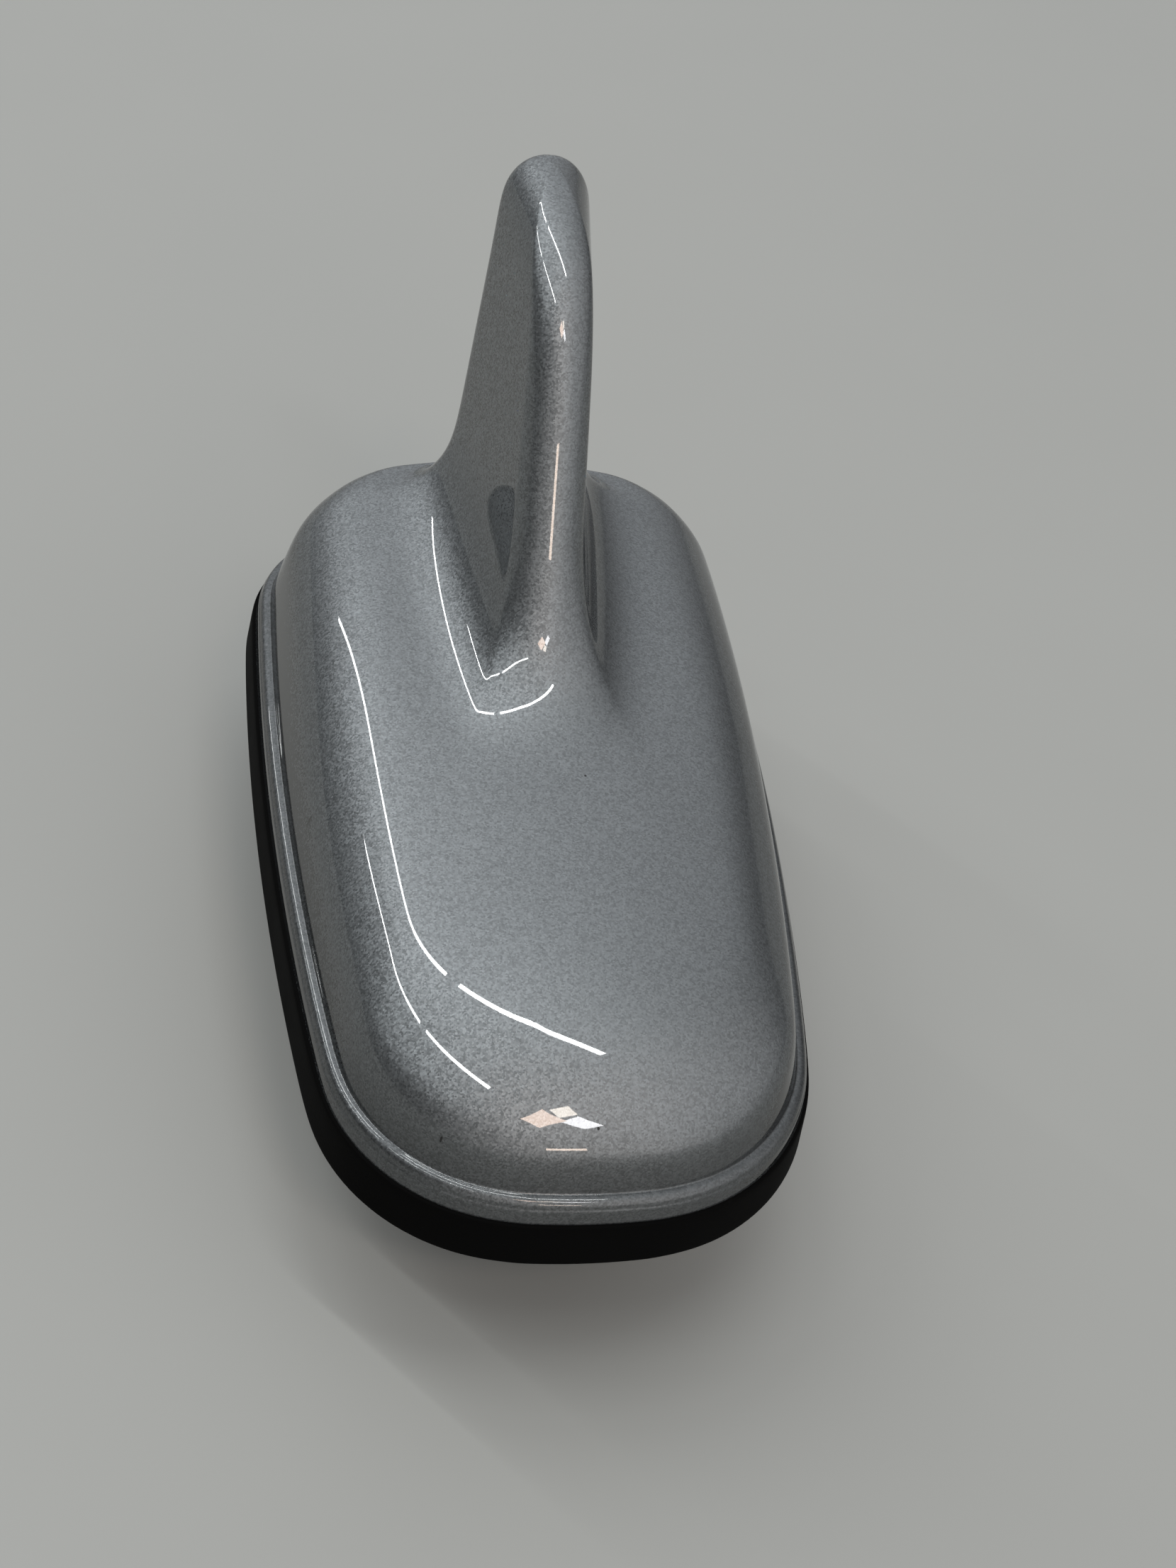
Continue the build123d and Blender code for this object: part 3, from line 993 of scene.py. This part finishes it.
@dataclass
class Cover:
    """Painted moulding: skirt, step line, dome and fin, hollow inside."""

    form: CoverForm
    bottom: float
    wall: float = 0.0024
    edge_inset: float = 0.0009
    edge_round: float = 0.0004
    edge_bevel: float = 0.0001
    edge_land: float = 0.0012
    skirt_lean: float = 0.0005
    skirt_round: float = 0.0010
    ledge_depth: float = 0.0010
    crease: float = 0.0001
    boss_foot: float = 0.0056
    boss_radius: float = 0.0032
    boss_hole: float = 0.00145
    boss_depth: float = 0.0085
    boss_nose: tuple[float, float] = (0.0140, 0.0135)
    boss_tail: tuple[float, float] = (0.0200, 0.0175)
    boss_stations: int = 40
    boss_sharp: float = 40.0
    levels: int = 2

    edge_turns = (90.0, 60.0, 30.0, 0.0)
    skirt_shares = (0.25, 0.5, 0.75, 0.92)
    crest_turns = (0.0, 22.5, 45.0, 67.5, 90.0)
    outer_marks = (
        0.0, 0.06, 0.2, 0.4, 0.6, 0.8, 1.0, 1.08, 1.17, 1.27, 1.38, 1.5, 1.6, 1.69, 1.77, 1.84, 1.9, 1.95,
        2.0, 2.06, 2.13, 2.22, 2.34, 2.48, 2.64, 2.82, 3.0,
    )
    outer_tip_marks = (0.125, 0.25, 0.375, 0.5, 0.625, 0.75, 0.875, 0.96, 1.0)
    inner_marks = (0.0, 0.5, 1.0, 1.25, 1.5, 1.75, 2.0, 2.2, 2.6, 3.0)
    inner_tip_marks = (0.5, 1.0)

    def skirt(self) -> list[np.ndarray]:
        """Draws the lower edge, the skirt and the ledge.

        Returns:
            Whole rings from the hollow outwards.
        """
        plan, step, inner = self.form.plan, self.form.step, self.edge_inset + self.wall
        lean = self.skirt_lean / (step - self.bottom)
        marks = [
            (inner + self.skirt_lean, step - self.ledge_depth),
            (inner, self.bottom + self.edge_round),
            (inner - self.edge_bevel, self.bottom + self.edge_bevel),
            (inner - self.edge_round, self.bottom),
            (self.edge_inset + self.edge_land, self.bottom),
        ]
        for turn in self.edge_turns:
            side = self.edge_round * (1 - math.cos(math.radians(turn)))
            down = self.edge_round * (1 - math.sin(math.radians(turn)))
            marks.append((self.edge_inset + side, self.bottom + down))
        low, high = self.bottom + self.edge_round, step - self.skirt_round
        for share in self.skirt_shares:
            z = low + (high - low) * share
            marks.append((self.edge_inset + lean * (z - self.bottom), z))
        crest = self.edge_inset + self.skirt_lean
        for turn in self.crest_turns:
            side = self.skirt_round * (1 - math.cos(math.radians(turn)))
            up = self.skirt_round * math.sin(math.radians(turn))
            marks.append((crest + side, high + up))
        marks.append((self.form.step_inset - self.crease, step))
        return [plan.ring(inset, z) for inset, z in marks]

    def build(self) -> bpy.types.Object:
        """Draws the moulding from the tip of its hollow round the lower edge to the tip of its fin.

        Returns:
            The cover with its bosses.
        """
        inside = self.form.rings(self.wall, self.inner_marks, self.inner_tip_marks)[::-1]
        outside = self.form.rings(0.0, self.outer_marks, self.outer_tip_marks)
        skin = RingLoft("painted_cover", inside[0])
        skin.draw(inside[1:] + self.skirt() + outside)
        cover = skin.close(self.levels)
        bosses = [self._boss(cover, x, y) for x, y in self._boss_spots()]
        bpy.ops.object.select_all(action="DESELECT")
        for piece in (*bosses, cover):
            piece.select_set(True)
        bpy.context.view_layer.objects.active = cover
        bpy.ops.object.join()
        return cover

    def _boss_spots(self) -> list[tuple[float, float]]:
        """Sets out the four screw bosses.

        Returns:
            Their places in plan.
        """
        end = self.form.plan.length / 2
        (nose_x, nose_back), (tail_x, tail_back) = self.boss_nose, self.boss_tail
        nose = [(x, nose_back - end) for x in (-nose_x, nose_x)]
        return nose + [(x, end - tail_back) for x in (-tail_x, tail_x)]

    def _boss(self, cover: bpy.types.Object, x: float, y: float) -> bpy.types.Object:
        """Draws one hollow boss from the plate up into the dome's wall.

        Args:
            cover: The finished skin.
            x: Place across.
            y: Place along.

        Returns:
            The boss as its own piece.
        """
        struck, roof, _, _ = cover.ray_cast(Vector((x, y, self.boss_foot)), Vector((0.0, 0.0, 1.0)))
        top = roof.z + self.wall / 2 if struck else self.form.step
        turns = np.linspace(0.0, 2 * math.pi, self.boss_stations, endpoint=False)
        foot, bevel, hole = self.boss_foot, self.edge_bevel, self.boss_hole
        outline = (
            (0.0, foot + self.boss_depth),
            (hole, foot + self.boss_depth),
            (hole, foot + bevel),
            (hole + bevel, foot),
            (self.boss_radius - bevel, foot),
            (self.boss_radius, foot + bevel),
            (self.boss_radius, top),
            (0.0, top),
        )
        rings = [
            np.column_stack((x + r * np.cos(turns), y + r * np.sin(turns), np.full(len(turns), z)))
            for r, z in outline
        ]
        tube = RingLoft("cover_boss", rings[0])
        tube.draw(rings[1:])
        return tube.close(0, self.boss_sharp)


@dataclass
class Gasket:
    """Rubber tray: rim round the plate, sealing beads on the roof, collar round the stud."""

    plan: PlanOutline
    height: float
    lean: float = 0.0005
    rim: float = 0.0046
    floor: float = 0.0024
    lip: float = 0.0032
    relief: float = 0.0007
    hole: float = 0.00785
    collar: float = 0.0040
    edge: float = 0.0003
    bead_share: float = 1 / 3
    rim_share: float = 1 / 4
    groove: float = 0.0003
    levels: int = 2

    groove_shares = (0.72, 0.42)
    groove_profile = ((2.4, 0.0), (1.4, 0.0), (0.9, 1.0), (-0.9, 1.0), (-1.4, 0.0), (-2.0, 0.0))
    side_shares = (0.3, 0.6, 0.9)

    def build(self) -> bpy.types.Object:
        """Draws the tray round from the stud hole, along the underside and back over the floor.

        Returns:
            The gasket.
        """
        edge, bead, soft = self.edge, self.edge * self.bead_share, self.edge * self.rim_share
        collar = self.hole + self.collar
        under = [
            self.plan.circle(self.hole, edge),
            self.plan.circle(self.hole + bead, bead),
            self.plan.circle(self.hole + edge, 0.0),
            self.plan.circle(collar - edge, 0.0),
            self.plan.circle(collar - bead, bead),
            self.plan.circle(collar, edge),
            self.plan.circle(collar + bead, self.relief),
            self.plan.circle(collar + edge * 2, self.relief),
        ]
        lip = [(self.lip + edge * 2, self.relief), (self.lip + bead, self.relief), (self.lip, edge)]
        for share in self.groove_shares:
            middle = self.lip * share
            lip += [(middle + aside * edge, self.groove * rise) for aside, rise in self.groove_profile]
        lip += [(edge, 0.0), (soft, soft), (0.0, edge)]
        top = self.height
        lip += [(self.lean * share, top * share) for share in self.side_shares]
        lip += [(self.lean + soft, top - soft), (self.lean + edge, top)]
        lip += [(self.rim - edge, top), (self.rim, top - edge), (self.rim, self.floor + edge)]
        lip += [(self.rim + edge, self.floor)]
        over = [
            self.plan.circle(self.hole + 2 * edge, self.floor),
            self.plan.circle(self.hole + bead, self.floor - bead),
            self.plan.circle(self.hole, self.floor - edge),
            under[0],
        ]
        skin = RingLoft("sealing_gasket", under[0])
        skin.draw(under[1:] + [self.plan.ring(inset, z) for inset, z in lip] + over)
        return skin.close(self.levels)


@dataclass
class FixingStud:
    """Hollow stud: threaded shank, plain neck and hexagon flange."""

    low: float
    high: float
    radius: float = 0.0070
    neck: float = 0.0076
    bore: float = 0.0046
    sides: int = 6
    flats: float = 0.0200
    flange: float = 0.0030
    chamfer: float = 0.0012
    bore_chamfer: float = 0.0004
    edge: float = 0.0004
    pitch: float = 0.0015
    depth: float = 0.0009
    flank: float = 2.6
    flat: float = 0.2
    stations: int = 72
    steps_per_turn: int = 10
    sharp: float = 40.0

    def _angles(self) -> np.ndarray:
        """Bearings of the stations."""
        return np.arange(self.stations) * 2 * math.pi / self.stations

    def _ring(self, radius: Union[float, np.ndarray], z: float) -> np.ndarray:
        """Ring of one radius, or of one for each station."""
        rays = np.column_stack((np.cos(self._angles()), np.sin(self._angles())))
        return level(rays * np.reshape(radius, (-1, 1)), z)

    def _hexagon(self, margin: float) -> np.ndarray:
        """Outline of the flange.

        Args:
            margin: How far it is drawn in.

        Returns:
            One radius for each station.
        """
        sector = 2 * math.pi / self.sides
        turned = (self._angles() - sector) % sector - sector / 2
        return (self.flats / 2 - margin) / np.cos(turned)

    def _thread(self, z: float) -> np.ndarray:
        """Thread at a height, with its run-out at both ends.

        Args:
            z: The height.

        Returns:
            One radius for each station.
        """
        phase = (z / self.pitch - self._angles() / (2 * math.pi)) % 1.0
        wave = np.clip(self.flank * np.abs(phase - 1 / 2) - self.flat, 0.0, 1.0)
        fade = np.clip(-z / self.pitch, 0.0, 1.0)
        tapered = self.radius - np.maximum(self.low + self.chamfer - z, 0.0)
        return np.minimum(self.radius - self.depth * (1 - wave) * fade, tapered)

    def build(self) -> bpy.types.Object:
        """Draws the stud from its lower rim, up the thread and flange and down the bore.

        Returns:
            The stud.
        """
        count = round(-self.low / self.pitch * self.steps_per_turn)
        seat, edge = self.high - self.flange, self.edge
        rings = [self._ring(self.bore + self.bore_chamfer, self.low)]
        rings += [self._ring(self._thread(z), z) for z in np.linspace(self.low, 0.0, count + 1)]
        rings += [
            self._ring(self.neck, 0.0),
            self._ring(self.neck, seat),
            self._ring(self._hexagon(edge), seat),
            self._ring(self._hexagon(0.0), seat + edge),
            self._ring(self._hexagon(0.0), self.high - edge),
            self._ring(self._hexagon(edge), self.high),
            self._ring(self.bore + self.bore_chamfer, self.high),
            self._ring(self.bore, self.high - self.bore_chamfer),
            self._ring(self.bore, self.low + self.bore_chamfer),
        ]
        skin = RingLoft("threaded_stud", rings[0])
        skin.draw(rings[1:] + rings[:1])
        return skin.close(0, self.sharp)


@dataclass(frozen=True)
class Lamp:
    """Flat lamp with an even glow."""

    name: str
    place: tuple[float, float, float]
    size: tuple[float, float]
    radiance: float
    colour: Colour = (1.0, 1.0, 1.0)
    heading: float = 0.0
    tilt: float = 0.0

    def build(self) -> None:
        """Hangs the lamp, its length along the heading, facing down or tilted up from there."""
        turn = (math.radians(self.tilt), 0.0, math.radians(self.heading))
        bpy.ops.object.light_add(type="AREA", location=self.place, rotation=turn)
        lamp = bpy.context.active_object
        lamp.name = self.name
        lamp.data.shape = "RECTANGLE"
        lamp.data.size, lamp.data.size_y = self.size
        lamp.data.energy = self.radiance * math.pi * self.size[0] * self.size[1]
        lamp.data.color = self.colour


@dataclass(frozen=True)
class TubeRow:
    """Row of lamp tubes, end to end along one line of the ceiling."""

    name: str
    offset: float
    ends: tuple[tuple[float, float], ...]
    heading: float = -47.8
    height: float = 2.0
    width: float = 0.046
    radiance: float = 35.0
    colour: Colour = (0.98, 1.0, 0.99)

    def build(self) -> None:
        """Hangs the tubes."""
        turn = math.radians(self.heading)
        along = Vector((math.cos(turn), math.sin(turn), 0.0))
        across = Vector((along.y, -along.x, 0.0))
        for number, (start, end) in enumerate(self.ends, 1):
            centre = across * self.offset + along * (start + end) / 2
            place = (centre.x, centre.y, self.height)
            size = (end - start, self.width)
            Lamp(f"{self.name}_{number}", place, size, self.radiance, self.colour, self.heading).build()


@dataclass(frozen=True)
class Glow:
    """Soft patch of light on the walls or ceiling of the room."""

    azimuth: float
    elevation: float
    radiance: float
    colour: Colour = (1.0, 1.0, 1.0)
    spread: tuple[float, float] = (0.5, 1.0)

    def paint(self, graph: Graph, way: Signal) -> Signal:
        """Colour of the patch, strongest towards its middle.

        Args:
            graph: Node tree of the world.
            way: Direction that is looked at.

        Returns:
            The light that comes from there.
        """
        turn, lift = math.radians(self.azimuth), math.radians(self.elevation)
        axis = (math.cos(turn) * math.cos(lift), math.sin(turn) * math.cos(lift), math.sin(lift))
        nearness = graph.vector("DOT_PRODUCT", way, axis, key="Value")
        return graph.scaled(self.colour, graph.span(nearness, *self.spread) * self.radiance)


@dataclass
class Studio:
    """Pale floor, soft light and the camera of the portrait."""

    floor_level: float
    floor_colour: Colour = (0.368, 0.373, 0.360)
    floor_size: float = 12.0
    floor_shade: float = 0.96
    floor_pitch: float = 0.05
    floor_detail: float = 4.0
    floor_roughness: float = 0.55
    photo_width: int = 1659
    photo_height: int = 2212
    focal_pixels: float = 3300.0
    azimuth: float = -17.591
    elevation: float = 44.994
    roll: float = 13.124
    distance: float = 0.286348
    target: tuple[float, float, float] = (0.008386, 0.00794, 0.0070)
    sensor: float = 36.0
    nearest: float = 0.01
    lamps: tuple[Union[Lamp, TubeRow], ...] = (
        TubeRow("near_tube", -0.142, ((-5.0, -0.74), (-0.60, 0.55))),
        TubeRow("far_tube", 0.785, ((-4.2, -0.88), (-0.72, 0.36))),
        Lamp("warm_pane", (0.117, -1.348, 2.0), (0.31, 0.27), 14.0, (1.0, 0.76, 0.62), -52.0),
        Lamp("cream_pane", (0.285, -1.215, 2.0), (0.17, 0.12), 16.0, (1.0, 0.91, 0.80), -66.0),
        Lamp("white_pane", (0.418, -1.459, 2.0), (0.29, 0.15), 18.0, (0.97, 0.97, 1.0), -50.0),
        Lamp("warm_door", (0.25, -2.0, 0.70), (0.25, 0.14), 15.0, (1.0, 0.80, 0.66), 0.0, 80.0),
    )
    glows: tuple[Glow, ...] = (
        Glow(0.0, 90.0, 0.24, (0.97, 1.0, 1.03)),
        Glow(90.0, 30.0, 0.62, (0.97, 1.0, 1.03)),
        Glow(320.0, 30.0, 0.62),
        Glow(40.0, 12.0, 0.05),
        Glow(270.0, 0.0, 0.60, (1.02, 1.0, 0.98)),
    )
    room_light: Colour = (0.10, 0.10, 0.10)

    def build_floor(self) -> None:
        """Lays the floor at the stud's lower end."""
        bpy.ops.object.select_all(action="DESELECT")
        bpy.ops.mesh.primitive_plane_add(size=self.floor_size, location=(0.0, 0.0, self.floor_level))
        floor = bpy.context.active_object
        floor.name = "floor"
        finish = Finish("pale_floor", self.floor_colour)
        material, graph = finish.start()
        cloud = graph.noise(graph.place(), self.floor_pitch, self.floor_detail)
        darker = tuple(self.floor_shade * c for c in self.floor_colour)
        colour = graph.blend(cloud, darker, self.floor_colour)
        finish.shader(graph, {"Base Color": colour, "Roughness": self.floor_roughness})
        floor.data.materials.append(material)

    def build_world(self) -> None:
        """Soft room light in a few wide patches."""
        world = bpy.data.worlds.new("room")
        world.use_nodes = True
        bpy.context.scene.world = world
        graph = Graph(world.node_tree)
        way = graph.out(graph.node("ShaderNodeTexCoord"), "Generated")
        patches = [glow.paint(graph, way) for glow in self.glows]
        total = functools.reduce(functools.partial(graph.vector, "ADD"), patches, self.room_light)
        light = graph.node("ShaderNodeBackground", None, {"Color": total})
        graph.node("ShaderNodeOutputWorld", None, {"Surface": graph.out(light)})

    def build_camera(self) -> None:
        """Puts the camera where the photograph was taken from."""
        turn, lift = math.radians(self.azimuth), math.radians(self.elevation)
        flat = math.cos(lift)
        back = Vector((math.sin(turn) * flat, -math.cos(turn) * flat, math.sin(lift)))
        bpy.ops.object.camera_add(location=Vector(self.target) + back * self.distance)
        camera = bpy.context.active_object
        camera.name = "portrait_camera"
        camera.rotation_mode = "QUATERNION"
        spin = Quaternion(back, math.radians(self.roll))
        camera.rotation_quaternion = spin @ (-back).to_track_quat("-Z", "Y")
        camera.data.sensor_width = self.sensor
        camera.data.lens = self.sensor * self.focal_pixels / max(self.photo_width, self.photo_height)
        camera.data.clip_start = self.nearest
        bpy.context.scene.camera = camera

    def build(self) -> None:
        """Sets the whole stage."""
        self.build_floor()
        self.build_world()
        for lamp in self.lamps:
            lamp.build()
        self.build_camera()
        bpy.context.scene.view_settings.view_transform = "Standard"


def main() -> None:
    """Builds and dresses the aerial, then its stage."""
    logging.basicConfig(level=logging.INFO, format="%(message)s")
    finishes = Finishes()
    gasket_low, gasket_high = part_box("gasket")
    cover_low, cover_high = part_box("cover")
    stud_low, stud_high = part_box("fixing_stud")
    plan = PlanOutline(gasket_high.y - gasket_low.y, gasket_high.x - gasket_low.x)
    form = CoverForm(plan, FinForm(plan, cover_high.z), cover_low.z + skirt_height)
    makers = (
        (Cover(form, cover_low.z), Slot.cover_paint, "cover"),
        (Gasket(plan, gasket_high.z), Slot.gasket_rubber, "gasket"),
        (FixingStud(stud_low.z, stud_high.z), Slot.stud_steel, "fixing_stud"),
    )
    for maker, slot, node in makers:
        piece = maker.build()
        finishes.dress(piece, slot)
        Body.carry(piece, slot, node)
    for subpart in frame["record"]["subparts"]:
        finishes.dress(frame["nodes"][subpart["node"]], Slot[subpart["material_slot"]])
    Studio(stud_low.z).build()


if __name__ == "__main__":
    main()
